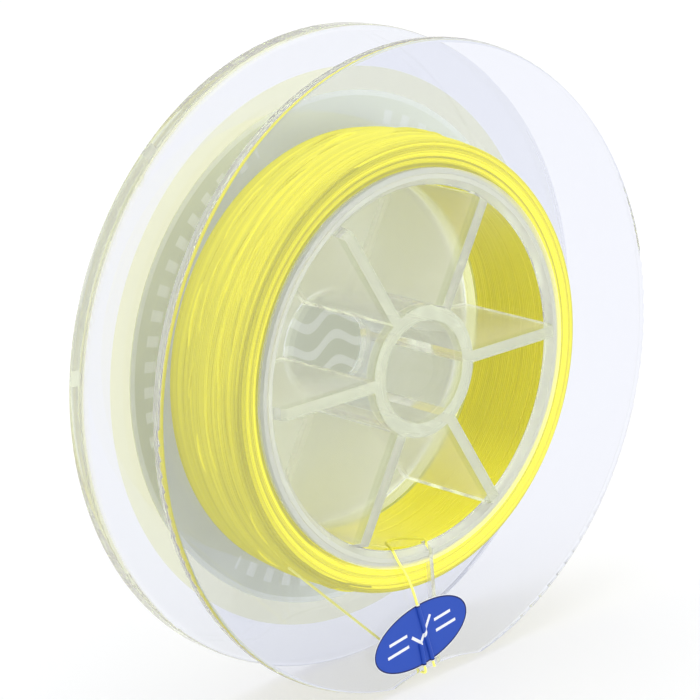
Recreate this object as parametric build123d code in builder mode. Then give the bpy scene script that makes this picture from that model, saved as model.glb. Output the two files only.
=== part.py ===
from build123d import *
from math import acos, atan2, cos, degrees, hypot, pi, radians, sin, sqrt, tan
import os

# Clear two-flange spool wound with braided fishing line, in millimetres.
# The spool stands on its rims: its axis lies along Y, its open front faces -Y, and Z = 0 is the
# surface that it stands on. It is two clear mouldings (a body and a front flange), one continuous
# line, whose winding and two ends are separate nodes, a small label and a large rear label.
os.makedirs("parts", exist_ok=True)

# Flanges
flange_radius = 35.0
front_flange_thickness = 1.2
rear_flange_thickness = 2.2
rim_front_round = 0.5
rim_back_round = 0.3
rear_rim_front_round = 0.75

# Drum, and the line pack that it carries
winding_width = 11.0
drum_radius = 21.3
drum_wall = 1.75
winding_depth = 3.2
winding_crown = 0.15
winding_shoulder = 0.3

# The seat of the front flange on the end of the drum
seat_step = 0.5
lip_chamfer = 0.75

# Hub tube and ribs
hub_radius = 7.1
axle_bore_radius = 5.55
hub_proud = 1.0
rib_count = 6
rib_thickness = 1.3
rib_angle = -2.0
rib_tip_gap = 0.35
web_thickness = 0.8
corner_round = 0.8

# Shallow ring recess in the back of the rear flange
rim_land = 4.5
recess_depth = 0.3
recess_slope = 1.5

# Notch and slit at the foot of the front flange, where the line is tucked
notch_depth = 1.5
notch_radius = 23.0
notch_shoulder_round = 1.5
slit_width = 0.5

# Line and label
line_diameter = 0.28
tuck_offset = -2.1
label_length = 13.9
label_height = 7.1
label_thickness = 0.1
label_inset = 5.7
label_angle = -94.6
label_tilt = 7.7

# Round label in the recess, over the rear end of the axle bore
rear_label_thickness = 0.1
rear_label_margin = 1.0

# Fits
seat_clearance = 0.03
winding_clearance = 0.03
line_clearance = 0.02
label_clearance = 0.01
weld = 0.3

# Places along the axis, from the front end of the hub tube to the back of the rear flange
overall_width = hub_proud + front_flange_thickness + winding_width + rear_flange_thickness
hub_front = -overall_width / 2
face_front = hub_front + hub_proud
winding_front = face_front + front_flange_thickness
winding_back = winding_front + winding_width
back = winding_back + rear_flange_thickness
recess_floor = back - recess_depth
web_front = recess_floor - web_thickness

# Radii that follow from the driving sizes
drum_inner = drum_radius - drum_wall
seat_radius = drum_radius - seat_step
drum_step = winding_front + seat_clearance
winding_radius = drum_radius + winding_depth
notch_floor = flange_radius - notch_depth
recess_radius = flange_radius - rim_land
slit_foot = notch_floor - 0.01
line_radius = line_diameter / 2

spool_axis = Axis((0, 0, flange_radius), (0, 1, 0))
half_section = Plane(origin=(0, 0, flange_radius), x_dir=(1, 0, 0), z_dir=(0, 0, 1))


def front_plane(y):
    """The plane across the axis at y, seen from the front: X to the right, Z up."""
    return Plane(origin=(0, y, flange_radius), x_dir=(1, 0, 0), z_dir=(0, -1, 0))


def axis_distance(point):
    """How far a point lies from the spool's axis."""
    return (point - Vector(0, point.Y, flange_radius)).length


def polar(radius, angle, y):
    """A point at a radius and angle about the spool's axis, seen from the front."""
    turn = radians(angle)
    return (radius * cos(turn), y, flange_radius + radius * sin(turn))


# ---------------------------------------------------------------- spool body
# Rear flange, web, drum wall, six ribs and hub tube are one moulding, open at the front.
body_outline = [
    (axle_bore_radius, web_front),
    (drum_inner, web_front),
    (drum_inner, face_front + lip_chamfer),
    (drum_inner + lip_chamfer, face_front),
    (seat_radius, face_front),
    (seat_radius, drum_step),
    (drum_radius, drum_step),
    (drum_radius, winding_back),
    (flange_radius, winding_back),
    (flange_radius, back),
    (recess_radius, back),
    (recess_radius - recess_slope, recess_floor),
    (axle_bore_radius, recess_floor),
]

rib_outline = [
    (hub_radius - weld, hub_front),
    (drum_inner - rib_tip_gap, hub_front),
    (drum_inner + weld, face_front + lip_chamfer),
    (drum_inner + weld, web_front + weld),
    (hub_radius - weld, web_front + weld),
]

with BuildPart() as spool_body:
    with BuildSketch(half_section) as body_section:
        with BuildLine():
            Polyline(*body_outline, close=True)
        make_face()
        rim_corners = body_section.vertices().group_by(Axis.X)[-1].sort_by(Axis.Y)
        fillet(rim_corners[0], rear_rim_front_round)
        fillet(rim_corners[-1], rim_back_round)
        pocket_corner = body_section.vertices().sort_by_distance((drum_inner, web_front, flange_radius))
        fillet(pocket_corner[0], corner_round)
    revolve(axis=spool_axis)

    with BuildSketch(half_section):
        with Locations(((axle_bore_radius + hub_radius) / 2, (hub_front + recess_floor) / 2)):
            Rectangle(hub_radius - axle_bore_radius, recess_floor - hub_front)
    revolve(axis=spool_axis)

    for rib in range(rib_count):
        turn = radians(rib_angle + rib * 360 / rib_count)
        outward = (cos(turn), 0, sin(turn))
        across = (-sin(turn), 0, cos(turn))
        rib_plane = Plane(origin=(0, 0, flange_radius), x_dir=outward, z_dir=across)
        with BuildSketch(rib_plane):
            Polygon(*rib_outline, align=None)
        extrude(amount=rib_thickness / 2, both=True)

    # The front flange's slit runs on through the end of the drum wall.
    with BuildSketch(front_plane(face_front)):
        with Locations((0, -(drum_inner + drum_radius) / 2)):
            Rectangle(slit_width, 2 * drum_wall)
    extrude(amount=-front_flange_thickness, mode=Mode.SUBTRACT)

spool_body.part.label = "spool_body"
export_step(spool_body.part, "parts/spool_body.step")

# ---------------------------------------------------------------- front flange
with BuildPart() as front_flange:
    with BuildSketch(front_plane(face_front)) as flange_face:
        Circle(flange_radius)
        with Locations((0, -(notch_floor + notch_radius))):
            Circle(notch_radius, mode=Mode.SUBTRACT)
        fillet(flange_face.vertices(), notch_shoulder_round)
        Circle(seat_radius + seat_clearance, mode=Mode.SUBTRACT)
        with Locations((0, -flange_radius / 2)):
            Rectangle(slit_width, flange_radius, mode=Mode.SUBTRACT)
    extrude(amount=-front_flange_thickness)

    for rim_y, rim_round in ((face_front, rim_front_round), (winding_front, rim_back_round)):
        rim_edges = front_flange.edges().filter_by_position(Axis.Y, rim_y, rim_y)
        fillet([edge for edge in rim_edges if axis_distance(edge @ 0.5) > slit_foot], rim_round)

front_flange.part.label = "front_flange"
export_step(front_flange.part, "parts/front_flange.step")

# ---------------------------------------------------------------- wound line
winding_start = winding_front + winding_clearance
winding_end = winding_back - winding_clearance

with BuildPart() as line_winding:
    with BuildSketch(half_section) as winding_section:
        with BuildLine():
            inner = Polyline(
                (winding_radius - winding_shoulder, winding_end),
                (drum_radius + winding_clearance, winding_end),
                (drum_radius + winding_clearance, winding_start),
                (winding_radius - winding_shoulder, winding_start),
            )
            ThreePointArc(
                inner @ 1,
                (winding_radius + winding_crown, (winding_start + winding_end) / 2),
                inner @ 0,
            )
        make_face()
    revolve(axis=spool_axis)

line_winding.part.label = "line_winding"
export_step(line_winding.part, "parts/line_winding.step")

# ---------------------------------------------------------------- ends of the line
# Both ends are pulled tight: straight runs joined by tangent arcs.
line_seat = line_radius + line_clearance
face_line_y = face_front - line_seat
fold_radius = 1.25 * line_diameter


def arc_radii(points):
    """The largest tangent arc that each corner's two runs leave room for."""
    radii = []
    for before, corner, after in zip(points, points[1:], points[2:]):
        run_in = Vector(*corner) - Vector(*before)
        run_out = Vector(*after) - Vector(*corner)
        half_turn = radians(run_in.get_angle(run_out)) / 2
        radii.append(0.45 * min(run_in.length, run_out.length) / tan(half_turn))
    return radii


def line_tube(points, radii):
    """A stretch of line along straight runs with an arc at each corner."""
    with BuildPart() as tube:
        with BuildLine() as route:
            FilletPolyline(*points, radius=radii)
        path = route.wires()[0]
        with BuildSketch(Plane(origin=path @ 0, z_dir=path % 0)):
            Circle(line_radius)
        sweep(path=path)
    return tube, path.length


# The start of the line comes out of the slit into the drum, loops along the drum's wall,
# and crosses the lip and the front flange to the notch.
start_points = [
    polar(drum_radius, -90, face_front + 0.6),
    polar(drum_inner - 0.45, -90, face_front + 0.7),
    polar(drum_inner - 0.5, -96.5, face_front + 3.0),
    polar(drum_inner - 0.35, -102.5, face_front + 2.7),
    polar(drum_inner - 0.25, -105.5, face_front + 0.4),
    polar(drum_inner + 1.0, -104.5, face_line_y - 0.24),
    polar(drum_inner + 2.6, -100, face_line_y),
    polar(drum_inner + 4.8, -97.1, face_line_y),
    polar(notch_floor - 0.1, -91.4, face_line_y),
]
start_radii = [fold_radius] + arc_radii(start_points)[1:]
line_start, start_length = line_tube(start_points, start_radii)
line_start.part.label = "line_start"
export_step(line_start.part, "parts/line_start.step")

# The end of the line leaves the winding at a tangent, runs behind the front flange to the
# notch, and is folded over its edge onto the front face.
tuck_z = sqrt(notch_radius**2 - tuck_offset**2) - notch_floor - notch_radius - line_seat
tuck_angle = degrees(atan2(tuck_z, tuck_offset))
tuck_radius = hypot(tuck_offset, tuck_z) + line_clearance
leave_radius = winding_radius + winding_crown + line_seat
leave_angle = tuck_angle - degrees(acos(leave_radius / tuck_radius))
end_points = [
    polar(leave_radius, leave_angle, winding_front + 1.6),
    polar(tuck_radius, tuck_angle, winding_front + line_seat),
    polar(tuck_radius, tuck_angle, face_line_y),
    polar(notch_floor - 3.2, -94.9, face_line_y),
]
line_end, end_length = line_tube(end_points, [fold_radius, fold_radius])
line_end.part.label = "line_end"
export_step(line_end.part, "parts/line_end.step")

print("line_start radii", [round(radius, 2) for radius in start_radii], "length", round(start_length, 2))
print("line_end radii", [round(fold_radius, 2)] * 2, "length", round(end_length, 2))
print("volume over section times length",
      round(line_start.part.volume / (pi * line_radius**2 * start_length), 3),
      round(line_end.part.volume / (pi * line_radius**2 * end_length), 3))

# ---------------------------------------------------------------- oval label
# A small label on the front flange, raised in a ridge over each stretch of line under it.
label_back = face_front - label_clearance
label_centre = polar(flange_radius - label_inset, label_angle, label_back)


def label_blank(height):
    """The label's oval, as thick as height, standing just off the front face."""
    with BuildPart() as blank:
        with BuildSketch(front_plane(label_back)):
            with Locations((label_centre[0], label_centre[2] - flange_radius)):
                Ellipse(label_length / 2, label_height / 2, rotation=label_tilt)
        extrude(amount=height)
    return blank.part


def line_cover(points, radius, foot, beyond):
    """An arch over a straight stretch of line, down to foot below the line's centre."""
    start = Vector(*points[0])
    run = Vector(*points[1]) - start
    across = Vector(0, -1, 0).cross(run)
    with BuildPart() as arch:
        with BuildSketch(Plane(origin=start, x_dir=across, z_dir=run)):
            Circle(radius)
            Rectangle(2 * radius, foot, align=(Align.CENTER, Align.MAX))
        extrude(amount=run.length + beyond)
    return arch.part


covered = [(start_points[-2], start_points[-1]), (end_points[-2], end_points[-1])]
flat_label = label_blank(label_thickness)
ridge_space = label_blank(2 * line_seat + label_thickness)
ridge_radius = line_seat + label_thickness
ridges = [line_cover(points, ridge_radius, line_seat, label_thickness) & ridge_space for points in covered]
tunnels = [line_cover(points, line_seat, 2 * line_seat, 0) for points in covered]

with BuildPart() as oval_label:
    add(flat_label)
    add(ridges)
    add(tunnels, mode=Mode.SUBTRACT)

oval_label.part.label = "oval_label"
export_step(oval_label.part, "parts/oval_label.step")

# ---------------------------------------------------------------- rear label
# A round film label that lies in the recess and closes the rear end of the axle bore.
with BuildPart() as rear_label:
    with BuildSketch(front_plane(recess_floor + label_clearance)):
        Circle(recess_radius - recess_slope - rear_label_margin)
    extrude(amount=-rear_label_thickness)

rear_label.part.label = "rear_label"
export_step(rear_label.part, "parts/rear_label.step")
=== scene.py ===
"""Looks of a clear fishing line spool, wound with yellow braid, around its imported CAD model."""
from math import cos, hypot, pi, radians, remainder, sin, sqrt

import bpy
import numpy as np
from mathutils import Matrix, Vector


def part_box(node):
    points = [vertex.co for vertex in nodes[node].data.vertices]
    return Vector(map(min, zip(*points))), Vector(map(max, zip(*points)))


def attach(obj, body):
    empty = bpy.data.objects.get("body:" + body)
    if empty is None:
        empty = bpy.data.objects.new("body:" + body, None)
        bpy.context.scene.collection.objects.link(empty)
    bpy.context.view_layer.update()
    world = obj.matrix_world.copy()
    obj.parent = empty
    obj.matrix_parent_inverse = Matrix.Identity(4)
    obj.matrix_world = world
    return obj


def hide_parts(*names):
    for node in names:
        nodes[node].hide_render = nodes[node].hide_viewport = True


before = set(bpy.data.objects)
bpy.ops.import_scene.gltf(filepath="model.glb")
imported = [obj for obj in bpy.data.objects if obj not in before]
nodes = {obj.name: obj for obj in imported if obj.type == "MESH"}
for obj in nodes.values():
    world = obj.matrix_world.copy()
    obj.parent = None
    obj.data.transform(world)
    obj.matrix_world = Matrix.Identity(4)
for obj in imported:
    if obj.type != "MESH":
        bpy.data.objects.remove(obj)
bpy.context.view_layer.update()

MM = 0.001
scene = bpy.context.scene

# ---------------------------------------------------------------- places, from the frame
body_low, body_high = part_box("spool_body")
flange_low, flange_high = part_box("front_flange")
pack_low, pack_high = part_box("line_winding")
label_low, label_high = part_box("oval_label")
film_low, film_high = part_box("rear_label")

axis_height = (body_low.z + body_high.z) / 2
face_front = flange_low.y
pack_radii = [hypot(v.co.x, v.co.z - axis_height) for v in nodes["line_winding"].data.vertices]
pack_inner, pack_outer = min(pack_radii), max(pack_radii)
film_radius = (film_high.x - film_low.x) / 2

# ---------------------------------------------------------------- sizes that the boxes don't give
drum_wall = 1.78 * MM  # with the line's clearance to it
drum_inner = pack_inner - drum_wall
hub_radius = 7.1 * MM
recess_slope = 2.5 * MM
recess_radius = film_radius + recess_slope
line_radius = 0.14 * MM


# ---------------------------------------------------------------- camera
def place_camera(azimuth, elevation, roll, distance, aim, lens):
    """A camera that looks at aim from an azimuth and elevation, turned about its own line of sight."""
    turn, tilt = radians(azimuth), radians(elevation)
    back = Vector((sin(turn) * cos(tilt), -cos(turn) * cos(tilt), sin(tilt)))
    level = Vector((cos(turn), sin(turn), 0))
    right = Matrix.Rotation(radians(roll), 3, back) @ level
    up = back.cross(right)
    data = bpy.data.cameras.new("photo_view")
    data.lens = lens
    data.clip_start, data.clip_end = 0.01, 20
    camera = bpy.data.objects.new("photo_view", data)
    axes = Matrix((right, up, back)).transposed()
    camera.matrix_world = Matrix.Translation(aim + distance * back) @ axes.to_4x4()
    scene.collection.objects.link(camera)
    scene.camera = camera


aim_point = Vector((-4.70 * MM, face_front + 5.17 * MM, axis_height + 2.51 * MM))
place_camera(azimuth=-41.08, elevation=17.80, roll=-4.43, distance=369.3 * MM, aim=aim_point, lens=180.98)
scene.view_settings.view_transform = "Standard"
# Light crosses many faces of the two clear mouldings before it gets out.
scene.cycles.max_bounces = 32
scene.cycles.diffuse_bounces = 3
scene.cycles.glossy_bounces = 24
scene.cycles.transmission_bounces = 24


# ---------------------------------------------------------------- node helpers
def new_material(name):
    """A node material, with its node tree and its Principled shader."""
    material = bpy.data.materials.new(name)
    material.use_nodes = True
    tree = material.node_tree
    return material, tree, tree.nodes["Principled BSDF"]


def add_node(tree, kind, **values):
    """A node of that kind, with its input sockets or its own settings set by name."""
    node = tree.nodes.new(kind)
    for key, value in values.items():
        if key in node.inputs:
            node.inputs[key].default_value = value
        else:
            setattr(node, key, value)
    return node


def ramp(tree, source, stops):
    """A colour ramp on source, with (position, colour) stops."""
    node = tree.nodes.new("ShaderNodeValToRGB")
    elements = node.color_ramp.elements
    while len(elements) < len(stops):
        elements.new(0.5)
    for element, (position, colour) in zip(elements, stops):
        element.position = position
        element.color = (*colour, 1)
    tree.links.new(source, node.inputs["Fac"])
    return node.outputs["Color"]


def link_in(tree, socket, value):
    """Feeds a socket from another node's socket, or sets it to a plain value."""
    if isinstance(value, bpy.types.NodeSocket):
        tree.links.new(value, socket)
    else:
        socket.default_value = value


def calc(tree, operation, first, second=0.0, third=0.0):
    """The result of a Math node on sockets or plain numbers."""
    node = add_node(tree, "ShaderNodeMath", operation=operation)
    for socket, value in zip(node.inputs, (first, second, third)):
        link_in(tree, socket, value)
    return node.outputs["Value"]


def mix_colour(tree, share, first, second):
    """A blend from the first colour to the second."""
    node = add_node(tree, "ShaderNodeMix", data_type="RGBA")
    link_in(tree, node.inputs["Factor"], share)
    # A Mix node has sockets of the same names for each type. These are the colour ones.
    colour_a, colour_b, colour_result = 6, 7, 2
    for index, value in ((colour_a, first), (colour_b, second)):
        link_in(tree, node.inputs[index], value if isinstance(value, bpy.types.NodeSocket) else (*value, 1))
    return node.outputs[colour_result]


def object_place(tree):
    """A point's place: X and Z from the spool's axis, Y along it, and its distance from the axis."""
    place = add_node(tree, "ShaderNodeTexCoord")
    parts = add_node(tree, "ShaderNodeSeparateXYZ")
    tree.links.new(place.outputs["Object"], parts.inputs["Vector"])
    x, y = parts.outputs["X"], parts.outputs["Y"]
    z = calc(tree, "SUBTRACT", parts.outputs["Z"], axis_height)
    squares = calc(tree, "MULTIPLY_ADD", x, x, calc(tree, "MULTIPLY", z, z))
    return x, y, z, calc(tree, "SQRT", squares)


def wave(tree, value, factor):
    """The sine of a value times a factor."""
    return calc(tree, "SINE", calc(tree, "MULTIPLY", value, factor))


def below(tree, value, limit):
    """1 where the value is under the limit, else 0."""
    return calc(tree, "LESS_THAN", value, limit)


def above(tree, value, limit):
    """1 where the value is over the limit, else 0."""
    return calc(tree, "GREATER_THAN", value, limit)


def near(tree, value, middle, reach):
    """1 where the value lies within reach of the middle, else 0."""
    return calc(tree, "COMPARE", value, middle, reach)


def between(tree, value, low, high):
    """1 where the value lies from low to high, else 0."""
    return near(tree, value, (low + high) / 2, (high - low) / 2)


def all_of(tree, masks):
    """1 where all of the masks are 1."""
    joined = masks[0]
    for mask in masks[1:]:
        joined = calc(tree, "MULTIPLY", joined, mask)
    return joined


def any_of(tree, masks):
    """1 where any of the masks is 1."""
    joined = masks[0]
    for mask in masks[1:]:
        joined = calc(tree, "MAXIMUM", joined, mask)
    return joined


# ---------------------------------------------------------------- clear plastic
def plastic_zones(tree):
    """Masks of the zones of the two mouldings that don't look plainly polished."""
    x, y, z, distance = object_place(tree)
    hair = 0.1 * MM  # keeps the edge of a mask off a face
    wall_zone = between(tree, distance, drum_inner - hair, drum_inner + 1.9 * MM)
    off_hub = any_of(tree, [above(tree, distance, hub_radius + hair),
                            below(tree, y, face_front + 3 * hair)])
    return {
        "inside_drum": all_of(tree, [below(tree, distance, drum_inner - hair), off_hub]),
        "lip": all_of(tree, [below(tree, y, face_front + 1.7 * MM),
                             between(tree, distance, drum_inner + hair, drum_inner + 1.9 * MM)]),
        "slit": all_of(tree, [near(tree, x, 0.0, 0.26 * MM), below(tree, z, 0.0),
                              below(tree, y, flange_high.y + 0.02 * MM)]),
        "recess_rim": all_of(tree, [above(tree, y, film_low.y - 0.05 * MM),
                                    between(tree, distance, film_radius, recess_radius)]),
        "web": all_of(tree, [above(tree, y, film_low.y - 1.5 * MM), below(tree, distance, drum_inner)]),
        "front_ends": below(tree, y, face_front + hair),
        "wall": all_of(tree, [wall_zone, between(tree, y, face_front + 0.8 * MM, film_low.y - 1.4 * MM)]),
    }


def clear_plastic():
    """Clear polystyrene: polished or satin faces, and a pale grey-green tint and a painted glow in its
    depth.
    """
    material, tree, shader = new_material("clear_plastic")
    shader.inputs["IOR"].default_value = 1.5
    zones = plastic_zones(tree)
    # The web, the ribs, the hub's end, the lip, the slit and the rim of the recess come satin from
    # the mould, so they veil what is behind them. The rest is polished.
    satin = any_of(tree, [zones[name] for name in ("inside_drum", "lip", "slit", "recess_rim")])
    milky = mix_colour(tree, zones["front_ends"], (0.98, 0.985, 0.94), (0.82, 0.85, 0.72))
    milky = mix_colour(tree, zones["lip"], milky, (0.92, 0.94, 0.90))
    milky = mix_colour(tree, zones["recess_rim"], milky, (0.96, 0.97, 0.60))
    # The drum's wall is tinted with the yellow of the line that lies against it: a painted stand-in for the
    # line seen through the clear wall.
    polished = mix_colour(tree, zones["wall"], (0.87, 0.88, 0.955), (0.89, 0.88, 0.30))
    tree.links.new(mix_colour(tree, satin, polished, milky), shader.inputs["Base Color"])
    satin_roughness = 0.12
    tree.links.new(calc(tree, "MULTIPLY", satin, satin_roughness), shader.inputs["Roughness"])
    satin_veil, web_veil, lip_veil = 0.2, 0.2, 0.1
    lip_depth = calc(tree, "MULTIPLY_ADD", zones["lip"], lip_veil, satin_veil)
    veil = calc(tree, "MULTIPLY", satin, calc(tree, "MULTIPLY_ADD", zones["web"], web_veil, lip_depth))
    tree.links.new(calc(tree, "SUBTRACT", 1.0, veil), shader.inputs["Transmission Weight"])
    # Satin faces get a painted glow, which stands in for some of the light that the clear plastic pipes
    # along.
    drum_painted_glow, web_painted_glow = 0.02, 0.07
    satin_painted_glow = calc(tree, "MULTIPLY", zones["inside_drum"], drum_painted_glow)
    satin_painted_glow = calc(tree, "MULTIPLY_ADD", zones["web"], web_painted_glow, satin_painted_glow)
    shader.inputs["Emission Color"].default_value = (0.95, 1.0, 0.78, 1)
    tree.links.new(satin_painted_glow, shader.inputs["Emission Strength"])
    # The plastic's depth absorbs towards its pale grey-green body colour, and a painted glow in it stands
    # in for the light that is caught inside the plastic.
    depth = add_node(tree, "ShaderNodeVolumeAbsorption", Color=(0.5, 0.58, 0.2, 1), Density=50.0)
    painted_glow = add_node(tree, "ShaderNodeEmission", Color=(0.84, 0.745, 1.0, 1), Strength=24.0)
    both = add_node(tree, "ShaderNodeAddShader")
    tree.links.new(depth.outputs["Volume"], both.inputs[0])
    tree.links.new(painted_glow.outputs["Emission"], both.inputs[1])
    tree.links.new(both.outputs["Shader"], tree.nodes["Material Output"].inputs["Volume"])
    return material


# ---------------------------------------------------------------- yellow braid
def weave_bump(tree, shader, height, strength):
    """Raises the braid's weave on the surface by bump."""
    bump = add_node(tree, "ShaderNodeBump", Strength=strength, Distance=0.02 * MM)
    tree.links.new(height, bump.inputs["Height"])
    tree.links.new(bump.outputs["Normal"], shader.inputs["Normal"])


def yellow_braid():
    """Bright yellow braid: each turn has its own tone, with painted light and shade in it, and its surface
    the braid's fine weave.
    """
    material, tree, shader = new_material("yellow_braid")
    tone_and_painted_light = add_node(tree, "ShaderNodeAttribute", attribute_name="tone_and_painted_light").outputs["Fac"]
    along = add_node(tree, "ShaderNodeAttribute", attribute_name="along").outputs["Fac"]
    across = add_node(tree, "ShaderNodeAttribute", attribute_name="across").outputs["Fac"]
    # The base colour follows each turn's tone, which carries painted light and shade as well as random
    # tone.
    dye_and_painted_light = [(0.0, (0.64, 0.60, 0.02)), (0.4, (0.78, 0.735, 0.03)), (1.0, (0.92, 0.87, 0.03))]
    tree.links.new(ramp(tree, tone_and_painted_light, dye_and_painted_light), shader.inputs["Base Color"])
    # The dye's fluorescence is stood in for by a painted glow, which follows the tone and its painted
    # light, so the line keeps its colour where little light reaches it.
    fluorescence_painted_glow = [(0.0, (0.05, 0.046, 0.0)), (0.4, (0.17, 0.157, 0.0)), (1.0, (0.72, 0.67, 0.0))]
    tree.links.new(ramp(tree, tone_and_painted_light, fluorescence_painted_glow), shader.inputs["Emission Color"])
    shader.inputs["Emission Strength"].default_value = 1.0
    shader.inputs["Roughness"].default_value = 0.55
    shader.inputs["Specular IOR Level"].default_value = 0.12
    # Two sets of strands lean against each other as they run along the line.
    strands_per_diameter, lean = 0.8, 0.5
    run = calc(tree, "MULTIPLY", along, strands_per_diameter)
    strands = [calc(tree, "ABSOLUTE", wave(tree, calc(tree, "MULTIPLY_ADD", across, side, run), pi))
               for side in (lean, -lean)]
    weave_bump(tree, shader, calc(tree, "ADD", *strands), 0.35)
    return material


def strand_braid():
    """The same braid on the two free stretches, with a weave that follows the place in space."""
    material, tree, shader = new_material("strand_braid")
    x, y, z, distance = object_place(tree)
    along_pitch, cross_pitch = 0.35 * MM, 0.5 * MM
    weave = wave(tree, calc(tree, "ADD", x, z), 2 * pi / along_pitch)
    cross = wave(tree, calc(tree, "SUBTRACT", z, x), 2 * pi / cross_pitch)
    relief = calc(tree, "MULTIPLY_ADD", calc(tree, "ADD", weave, cross), 0.25, 0.5)
    # In front the strands are pale against the light and have a painted glow. Inside the drum they take a
    # darker yellow and less glow: painted shade.
    pale = ramp(tree, relief, [(0.0, (0.82, 0.79, 0.10)), (1.0, (0.97, 0.95, 0.18))])
    in_drum = below(tree, distance, drum_inner)
    tree.links.new(mix_colour(tree, in_drum, pale, (0.76, 0.71, 0.02)), shader.inputs["Base Color"])
    painted_glow_in_front, painted_glow_in_drum = 0.27, 0.15
    painted_glow = calc(tree, "MULTIPLY_ADD", in_drum, painted_glow_in_drum - painted_glow_in_front, painted_glow_in_front)
    shader.inputs["Emission Color"].default_value = (1.0, 0.97, 0.3, 1)
    tree.links.new(painted_glow, shader.inputs["Emission Strength"])
    shader.inputs["Roughness"].default_value = 0.5
    weave_bump(tree, shader, relief, 0.3)
    return material


# ---------------------------------------------------------------- the labels' prints
def oval(tree, u, v, half_long, half_short):
    """1 inside an oval with those half axes, else 0."""
    wide = calc(tree, "POWER", calc(tree, "DIVIDE", u, half_long), 2.0)
    tall = calc(tree, "POWER", calc(tree, "DIVIDE", v, half_short), 2.0)
    return below(tree, calc(tree, "ADD", wide, tall), 1.0)


def stroke(tree, u, v, start, end, width):
    """1 on a straight stroke from start to end, given as (u, v) in millimetres, else 0."""
    (u_from, v_from), (u_to, v_to) = start, end
    run, rise = (u_to - u_from) * MM, (v_to - v_from) * MM
    length = hypot(run, rise)
    du = calc(tree, "SUBTRACT", u, (u_from + u_to) / 2 * MM)
    dv = calc(tree, "SUBTRACT", v, (v_from + v_to) / 2 * MM)
    ahead = calc(tree, "MULTIPLY_ADD", du, run / length, calc(tree, "MULTIPLY", dv, rise / length))
    aside = calc(tree, "MULTIPLY_ADD", dv, run / length, calc(tree, "MULTIPLY", du, -rise / length))
    return all_of(tree, [near(tree, ahead, 0.0, (length + width) / 2), near(tree, aside, 0.0, width / 2)])


def label_print():
    """The label's blue field inside a navy line and a white border, with a plain tick and bars."""
    material, tree, shader = new_material("label_print")
    half_long, half_short, lean = 6.95 * MM, 3.55 * MM, radians(7.7)
    border, navy_line, stroke_width = 0.07 * MM, 0.17 * MM, 0.34 * MM
    white, paper = (0.85, 0.87, 0.9), (0.85, 0.86, 0.86)
    navy, blue = (0.012, 0.02, 0.12), (0.02, 0.075, 0.46)
    x, y, z, _ = object_place(tree)
    x = calc(tree, "SUBTRACT", x, (label_low.x + label_high.x) / 2)
    z = calc(tree, "SUBTRACT", z, (label_low.z + label_high.z) / 2 - axis_height)
    u = calc(tree, "MULTIPLY_ADD", x, cos(lean), calc(tree, "MULTIPLY", z, sin(lean)))
    v = calc(tree, "MULTIPLY_ADD", z, cos(lean), calc(tree, "MULTIPLY", x, -sin(lean)))
    lines = [((-1.2, 0.1), (-0.2, -0.9)), ((-0.2, -0.9), (1.6, 1.5))]
    for row, reach in ((0.75, 4.4), (-0.55, 4.9)):
        lines += [((-reach, row), (-2.1, row)), ((2.3, row), (reach, row))]
    marks = any_of(tree, [stroke(tree, u, v, start, end, stroke_width) for start, end in lines])
    print_colour = mix_colour(tree, marks, blue, white)
    for inset, outside in ((border + navy_line, navy), (border, white)):
        inside = oval(tree, u, v, half_long - inset, half_short - inset)
        print_colour = mix_colour(tree, inside, outside, print_colour)
    on_back = above(tree, y, label_high.y - 0.03 * MM)
    tree.links.new(mix_colour(tree, on_back, print_colour, paper), shader.inputs["Base Color"])
    shader.inputs["Roughness"].default_value = 0.32
    shader.inputs["Specular IOR Level"].default_value = 0.25
    return material


def film_marks(tree, x, z, distance):
    """1 on the film's pale marks: ticks in three groups, a thin ring, its edge and three waves."""
    tick_ring, tick_reach, tick_count = 25.4 * MM, 0.75 * MM, 60
    thin_ring, thin_reach = 22.9 * MM, 0.2 * MM
    pale_edge = 27.4 * MM
    wave_field, wave_length, wave_height = 19.0 * MM, 7.0 * MM, 0.8 * MM
    row_pitch, row_reach = 3.0 * MM, 0.55 * MM
    angle = calc(tree, "ARCTAN2", z, x)
    marks = [all_of(tree, [near(tree, distance, tick_ring, tick_reach),
                           above(tree, wave(tree, angle, tick_count), 0.2),
                           above(tree, wave(tree, angle, 3.0), -0.5)]),
             near(tree, distance, thin_ring, thin_reach),
             above(tree, distance, pale_edge)]
    swell = calc(tree, "MULTIPLY", wave(tree, x, 2 * pi / wave_length), wave_height)
    level = calc(tree, "SUBTRACT", z, swell)
    in_field = below(tree, distance, wave_field)
    for row in (-row_pitch, 0.0, row_pitch):
        marks.append(all_of(tree, [near(tree, level, row, row_reach), in_field]))
    return any_of(tree, marks)


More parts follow.
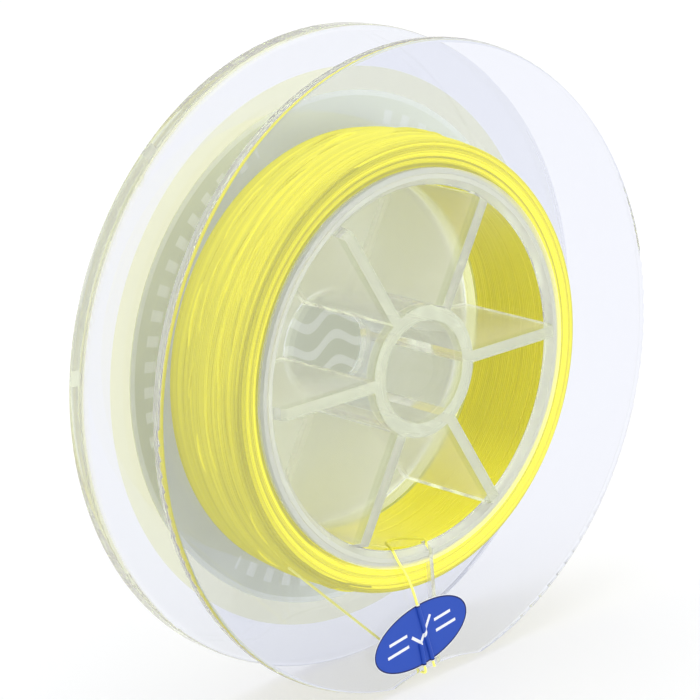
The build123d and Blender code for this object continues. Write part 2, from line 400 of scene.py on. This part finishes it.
def rear_print():
    """The rear label's film: a grey-green print with pale marks, which lets light through."""
    material, tree, shader = new_material("rear_print")
    x, y, z, distance = object_place(tree)
    tint = add_node(tree, "ShaderNodeTexNoise", Scale=45.0, Detail=3.0)
    place = add_node(tree, "ShaderNodeTexCoord")
    tree.links.new(place.outputs["Object"], tint.inputs["Vector"])
    ground = ramp(tree, tint.outputs["Fac"], [(0.35, (0.64, 0.67, 0.52)), (0.65, (0.78, 0.81, 0.65))])
    colour = mix_colour(tree, film_marks(tree, x, z, distance), ground, (0.86, 0.88, 0.79))
    tree.links.new(colour, shader.inputs["Base Color"])
    shader.inputs["Roughness"].default_value = 0.4
    shader.inputs["Transmission Weight"].default_value = 0.5
    # The whole film has a faint painted glow, and the outer zone of its front more of it, most on the
    # right: a painted stand-in for light that comes down the flange.
    plain_painted_glow, glow_at_middle, glow_per_metre, most_glow = 0.12, 0.21, 8.0, 0.26
    share = calc(tree, "DIVIDE", distance, film_radius)
    outer_zone = ramp(tree, share, [(0.75, (0, 0, 0)), (0.95, (1, 1, 1))])
    on_front = below(tree, y, film_low.y + 0.03 * MM)
    sideways = calc(tree, "MULTIPLY_ADD", x, glow_per_metre, glow_at_middle)
    sideways = calc(tree, "MINIMUM", calc(tree, "MAXIMUM", sideways, 0.0), most_glow)
    outer_zone_painted_glow = all_of(tree, [outer_zone, on_front, sideways])
    shader.inputs["Emission Color"].default_value = (0.95, 1.0, 0.80, 1)
    tree.links.new(calc(tree, "ADD", outer_zone_painted_glow, plain_painted_glow), shader.inputs["Emission Strength"])
    return material


# ---------------------------------------------------------------- wound line
first_turn = radians(-136)  # the wound stretches start low on the left, sunk out of sight
tube_sides = 6
tube_angles = np.linspace(0, 2 * pi, tube_sides, endpoint=False)
fine_steps, coarse_steps = 160, 120  # of a turn
stray = 0.25 * line_radius  # of a turn from its even place


def around_axis(turn, radius, y):
    """A winding's centres, from its turns, radii and places along the axis, and which way is out."""
    level = np.zeros(len(turn))
    outward = np.stack((np.cos(turn), level, np.sin(turn)), axis=-1)
    centres = outward * radius[:, None] + np.stack((level, y, level + axis_height), axis=-1)
    return centres, outward


def tube(centres, outward, first=0):
    """Points and faces of a closed tube of the line, and how far along it each of its rings lies.

    The rings lie in the plane of outward and the spool's axis. The points are numbered from first,
    and lengths along the tube are in line diameters.
    """
    count = len(centres)
    along_axis = np.array((0.0, 1.0, 0.0))
    rings = (centres[:, None, :]
             + line_radius * np.cos(tube_angles)[None, :, None] * outward[:, None, :]
             + line_radius * np.sin(tube_angles)[None, :, None] * along_axis[None, None, :])
    ring, side = np.meshgrid(np.arange(count - 1), np.arange(tube_sides), indexing="ij")
    here = first + ring * tube_sides + side
    beside = first + ring * tube_sides + (side + 1) % tube_sides
    quads = np.stack((here, beside, beside + tube_sides, here + tube_sides), axis=-1).reshape(-1, 4)
    last = first + (count - 1) * tube_sides
    ends = [list(range(first + tube_sides - 1, first - 1, -1)), list(range(last, last + tube_sides))]
    steps = np.linalg.norm(np.diff(centres, axis=0), axis=1)
    travelled = np.concatenate(([0.0], np.cumsum(steps))) / (2 * line_radius)
    return rings.reshape(-1, 3).tolist(), quads.tolist() + ends, travelled.tolist()


def note(mesh, name, values):
    """Writes one number to each of the mesh's points, for its material to read."""
    attribute = mesh.attributes.new(name, "FLOAT", "POINT")
    attribute.data.foreach_set("value", np.asarray(values, np.float32))


def line_mesh(name, points, faces, travelled, tones):
    """A mesh of wound line, whose points carry what its material reads."""
    mesh = bpy.data.meshes.new(name)
    mesh.from_pydata(points, [], faces)
    mesh.shade_smooth()
    note(mesh, "tone_and_painted_light", np.repeat(tones, tube_sides))
    note(mesh, "along", np.repeat(travelled, tube_sides))
    note(mesh, "across", np.tile(np.sin(tube_angles), len(travelled)))
    return mesh


def place_piece(mesh, material):
    """An object for the mesh, which moves with the spool."""
    piece = bpy.data.objects.new(mesh.name, mesh)
    scene.collection.objects.link(piece)
    mesh.materials.append(material)
    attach(piece, "root")
    return piece


def smooth_step(share):
    """A share from 0 to 1, eased at both ends."""
    return share * share * (3 - 2 * share)


def wander(turns, knots_per_turn, steps, spread, rng):
    """A smooth random walk about zero, one value for each step along the turns."""
    knots = int(turns * knots_per_turn) + 2
    values = rng.normal(0, spread, knots)
    at = np.linspace(0, knots - 1, steps)
    left = np.clip(at.astype(int), 0, knots - 2)
    share = smooth_step(at - left)
    return values[left] * (1 - share) + values[left + 1] * share


def sunk_ends(steps, steps_per_turn):
    """How far each step is sunk to hide both ends: from deepest to 0 within a part of a turn."""
    deepest, turn_part = 2.2 * line_radius, 1 / 12
    step = np.arange(steps)
    share = np.clip(np.minimum(step, steps - 1 - step) / (steps_per_turn * turn_part), 0, 1)
    return deepest * (1 - smooth_step(share))


def pack_outline(y):
    """The pack's outer radius at a place along the axis: crowned, and lower at its sides."""
    half_width = (pack_high.y - pack_low.y) / 2
    middle = (pack_high.y + pack_low.y) / 2
    share = np.abs(np.asarray(y) - middle) / half_width
    side_drop = 0.45 * MM
    return pack_outer - side_drop * share**2


def wound_layer(name, radius_at, y_from, y_to, steps_per_turn, painted_light_tone_at, spread, slack, rng, material):
    """One layer of the line, wound as a helix from y_from to y_to, up to slack off its radius."""
    turns = abs(y_to - y_from) / (2 * line_radius)
    steps = int(turns * steps_per_turn)
    turn = first_turn + np.linspace(0, 2 * pi * turns, steps)
    y = np.linspace(y_from, y_to, steps) + wander(turns, 3, steps, stray, rng)
    y = np.clip(y, min(y_from, y_to), max(y_from, y_to))
    radius = radius_at(y) + slack * np.abs(wander(turns, 4, steps, 0.5, rng))
    radius += np.sign(slack) * sunk_ends(steps, steps_per_turn)
    streaks = wander(turns, 1, steps, spread, rng) + wander(turns, 18, steps, spread, rng)
    tones = np.clip(painted_light_tone_at(y, turn) + streaks, 0, 1)
    mesh = line_mesh(name, *tube(*around_axis(turn, radius, y)), tones)
    place_piece(mesh, material)


def crossing_turns(rng, material):
    """Short stretches that ride slantwise over the outer turns and dip back under them."""
    count, steps, edge_margin, slant = 60, 24, 1.6 * MM, 0.8 * MM
    middle, reach = (pack_low.y + pack_high.y) / 2, (pack_high.y - pack_low.y) / 2 - edge_margin
    share = np.linspace(0, 1, steps)
    # The ends lie 2.9 line radii under the pack's outline, and the middle 0.3 over it.
    rise = line_radius * (3.2 * np.sin(pi * share)**0.5 - 2.9)
    points, faces, along, tones = [], [], [], []
    for _ in range(count):
        turn = rng.uniform(0, 2 * pi) + np.linspace(0, radians(rng.uniform(8, 24)), steps)
        y = middle + rng.uniform(-reach, reach) + rng.uniform(-slant, slant) * (share - 0.5)
        centres, outward = around_axis(turn, pack_outline(y) + rise, y)
        rings, sides, travelled = tube(centres, outward, first=len(points))
        points += rings
        faces += sides
        along += travelled
        tones += [rng.uniform(0.3, 0.6)] * steps
    mesh = line_mesh("line_crossing_turns", points, faces, along, tones)
    place_piece(mesh, material)


def side_turns(name, y_side, rng, material):
    """The turns that show on one side of the pack, spiralling out from the drum."""
    inset, pitch = 3 * line_radius, 1.9 * line_radius
    inner, outer = pack_inner + inset, float(pack_outline(y_side)) - inset
    turns = (outer - inner) / pitch
    steps = int(turns * fine_steps)
    turn = first_turn + np.linspace(0, 2 * pi * turns, steps)
    radius = np.linspace(inner, outer, steps) + wander(turns, 5, steps, stray, rng)
    inward = 1 if y_side < 0 else -1
    sunk = np.abs(wander(turns, 3, steps, 0.35 * line_radius, rng)) + sunk_ends(steps, fine_steps)
    # Painted light: the side turns are brighter towards the lower right and darker towards the upper left,
    # with random tone on top.
    tones = 0.84 + 0.12 * np.cos(turn + radians(60)) + wander(turns, 2, steps, 0.14, rng)
    centres, outward = around_axis(turn, radius, y_side + inward * sunk)
    mesh = line_mesh(name, *tube(centres, outward), np.clip(tones, 0, 1))
    place_piece(mesh, material)


def core_ring(material):
    """The inside of the pack, which fills what the wound layers leave between them."""
    around, across = 192, 8
    inset = 1.3 * line_radius
    core_inner = pack_inner + inset
    y_low, y_high = pack_low.y + inset, pack_high.y - inset
    profile = [(core_inner, y_high), (core_inner, y_low)]
    profile += [(float(pack_outline(y)) - 2.5 * inset, y) for y in np.linspace(y_low, y_high, across)]
    count = len(profile)
    points, faces = [], []
    for step in range(around):
        turn = 2 * pi * step / around
        points += [(r * cos(turn), y, axis_height + r * sin(turn)) for r, y in profile]
        here, after = step * count, (step + 1) % around * count
        for k in range(count):
            beside = (k + 1) % count
            faces.append((here + k, here + beside, after + beside, after + k))
    mesh = bpy.data.meshes.new("line_core")
    mesh.from_pydata(points, [], faces)
    # The core is as dark as the under turns: painted shade for the gaps between the turns, where it shows.
    note(mesh, "tone_and_painted_light", np.full(len(points), 0.3))
    core = place_piece(mesh, material)
    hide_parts("line_winding")


def wind_line(material):
    """The line pack: a plain core, with wound layers on the outside, on the drum and on both sides."""
    rng = np.random.default_rng(11)
    y_low, y_high = pack_low.y + line_radius, pack_high.y - line_radius
    outer_slack, drum_slack = -0.6 * line_radius, 0.1 * line_radius

    def outer_painted_light(y, turn):
        """Painted light: brighter towards the open front, on the side that the light comes through, and
        towards the top.
        """
        lit = np.clip(np.cos(turn + radians(25)), 0, 1)
        return 0.46 - 0.2 * (y - y_low) / (y_high - y_low) + 0.2 * lit + 0.12 * np.sin(turn)

    def under_painted_shade(y, turn):
        """Painted shade: dark all over, as the shaded gaps between the outer turns are."""
        return np.full(len(y), 0.3)

    def drum_painted_light(y, turn):
        """Painted light: brighter at the bottom of the drum."""
        return 0.57 + 0.65 * np.clip(-np.sin(turn) - 0.6, 0, 0.4)

    wound_layer("line_outer_turns", lambda y: pack_outline(y) - line_radius, y_low, y_high,
                fine_steps, outer_painted_light, 0.05, outer_slack, rng, material)
    wound_layer("line_under_turns", lambda y: pack_outline(y) - 2.6 * line_radius, y_high, y_low,
                coarse_steps, under_painted_shade, 0.05, outer_slack, rng, material)
    wound_layer("line_drum_turns", lambda y: np.full(len(y), pack_inner + line_radius), y_low, y_high,
                fine_steps, drum_painted_light, 0.012, drum_slack, rng, material)
    crossing_turns(rng, material)
    side_turns("line_front_turns", y_low, rng, material)
    side_turns("line_back_turns", y_high, rng, material)
    core_ring(material)


# ---------------------------------------------------------------- studio
def floor_mesh():
    """A round floor that curves up into a low rim, and higher on one side into a backdrop."""
    flat, bend, low_rim, backdrop = 2.0, 1.0, 0.5, 3.0
    backdrop_turn, full_to, fades_over = radians(131), radians(45), radians(15)
    around, upward = 96, 24
    points, faces = [(0.0, 0.0, 0.0)], []
    for k in range(around):
        turn = 2 * pi * k / around
        past = abs(remainder(turn - backdrop_turn, 2 * pi)) - full_to
        top = low_rim + (backdrop - low_rim) * min(max(1.0 - past / fades_over, 0.0), 1.0)
        for step in range(upward + 1):
            z = top * (step / upward)**2
            reach = flat + (sqrt(bend**2 - (bend - z)**2) if z < bend else bend)
            points.append((reach * cos(turn), reach * sin(turn), z))
    for k in range(around):
        here, beside = 1 + k * (upward + 1), 1 + (k + 1) % around * (upward + 1)
        faces.append((0, here, beside))
        faces += [(here + j, here + j + 1, beside + j + 1, beside + j) for j in range(upward)]
    mesh = bpy.data.meshes.new("floor")
    mesh.from_pydata(points, [], faces)
    mesh.shade_smooth()
    return mesh


def stage_floor():
    """The plain pale floor. It glows by itself, so that it comes out white as in the photo."""
    material, tree, shader = new_material("pale_floor")
    shader.inputs["Base Color"].default_value = (0.34, 0.34, 0.345, 1)
    shader.inputs["Roughness"].default_value = 0.7
    shader.inputs["Emission Color"].default_value = (1.0, 1.0, 1.0, 1)
    shader.inputs["Emission Strength"].default_value = 0.57
    mesh = floor_mesh()
    mesh.materials.append(material)
    floor = bpy.data.objects.new("floor", mesh)
    scene.collection.objects.link(floor)


def softbox(name, place, aim, width, height, power):
    """A rectangular area light that faces aim."""
    data = bpy.data.lights.new(name, "AREA")
    data.shape = "RECTANGLE"
    data.size, data.size_y = width, height
    data.energy = power
    lamp = bpy.data.objects.new(name, data)
    lamp.location = place
    lamp.rotation_euler = (Vector(aim) - Vector(place)).to_track_quat("-Z", "Y").to_euler()
    scene.collection.objects.link(lamp)


def light_studio():
    """Large soft lights from above and both sides, in a pale room that is brightest up in front."""
    world = bpy.data.worlds.new("studio")
    world.use_nodes = True
    tree = world.node_tree
    place = add_node(tree, "ShaderNodeTexCoord")
    facing = add_node(tree, "ShaderNodeVectorMath", operation="DOT_PRODUCT")
    facing.inputs[1].default_value = Vector((0.35, -0.75, 0.55)).normalized()
    tree.links.new(place.outputs["Generated"], facing.inputs[0])
    share = calc(tree, "MULTIPLY_ADD", facing.outputs["Value"], 0.5, 0.5)
    room = ramp(tree, share, [(0.0, (0.42, 0.43, 0.45)), (0.5, (0.46, 0.47, 0.49)),
                              (0.8, (0.62, 0.63, 0.64)), (1.0, (1.0, 1.0, 1.0))])
    tree.links.new(room, tree.nodes["Background"].inputs["Color"])
    tree.nodes["Background"].inputs["Strength"].default_value = 1.45
    scene.world = world
    middle = (0, 0, axis_height)
    softbox("top_box", place=(0.0, 0.1, 0.8), aim=middle, width=0.9, height=0.9, power=3.0)
    softbox("left_box", place=(-0.8, -0.2, 0.5), aim=middle, width=0.6, height=0.8, power=0.7)
    softbox("right_box", place=(0.5, -0.7, 0.45), aim=middle, width=0.5, height=0.7, power=0.4)


# ---------------------------------------------------------------- everything
def dress(names, material):
    """Gives CAD nodes their material."""
    for name in names:
        for material_slot in nodes[name].material_slots:
            material_slot.material = material


dress(("spool_body", "front_flange"), clear_plastic())
dress(("line_start", "line_end"), strand_braid())
dress(("oval_label",), label_print())
dress(("rear_label",), rear_print())
wind_line(yellow_braid())
stage_floor()
light_studio()
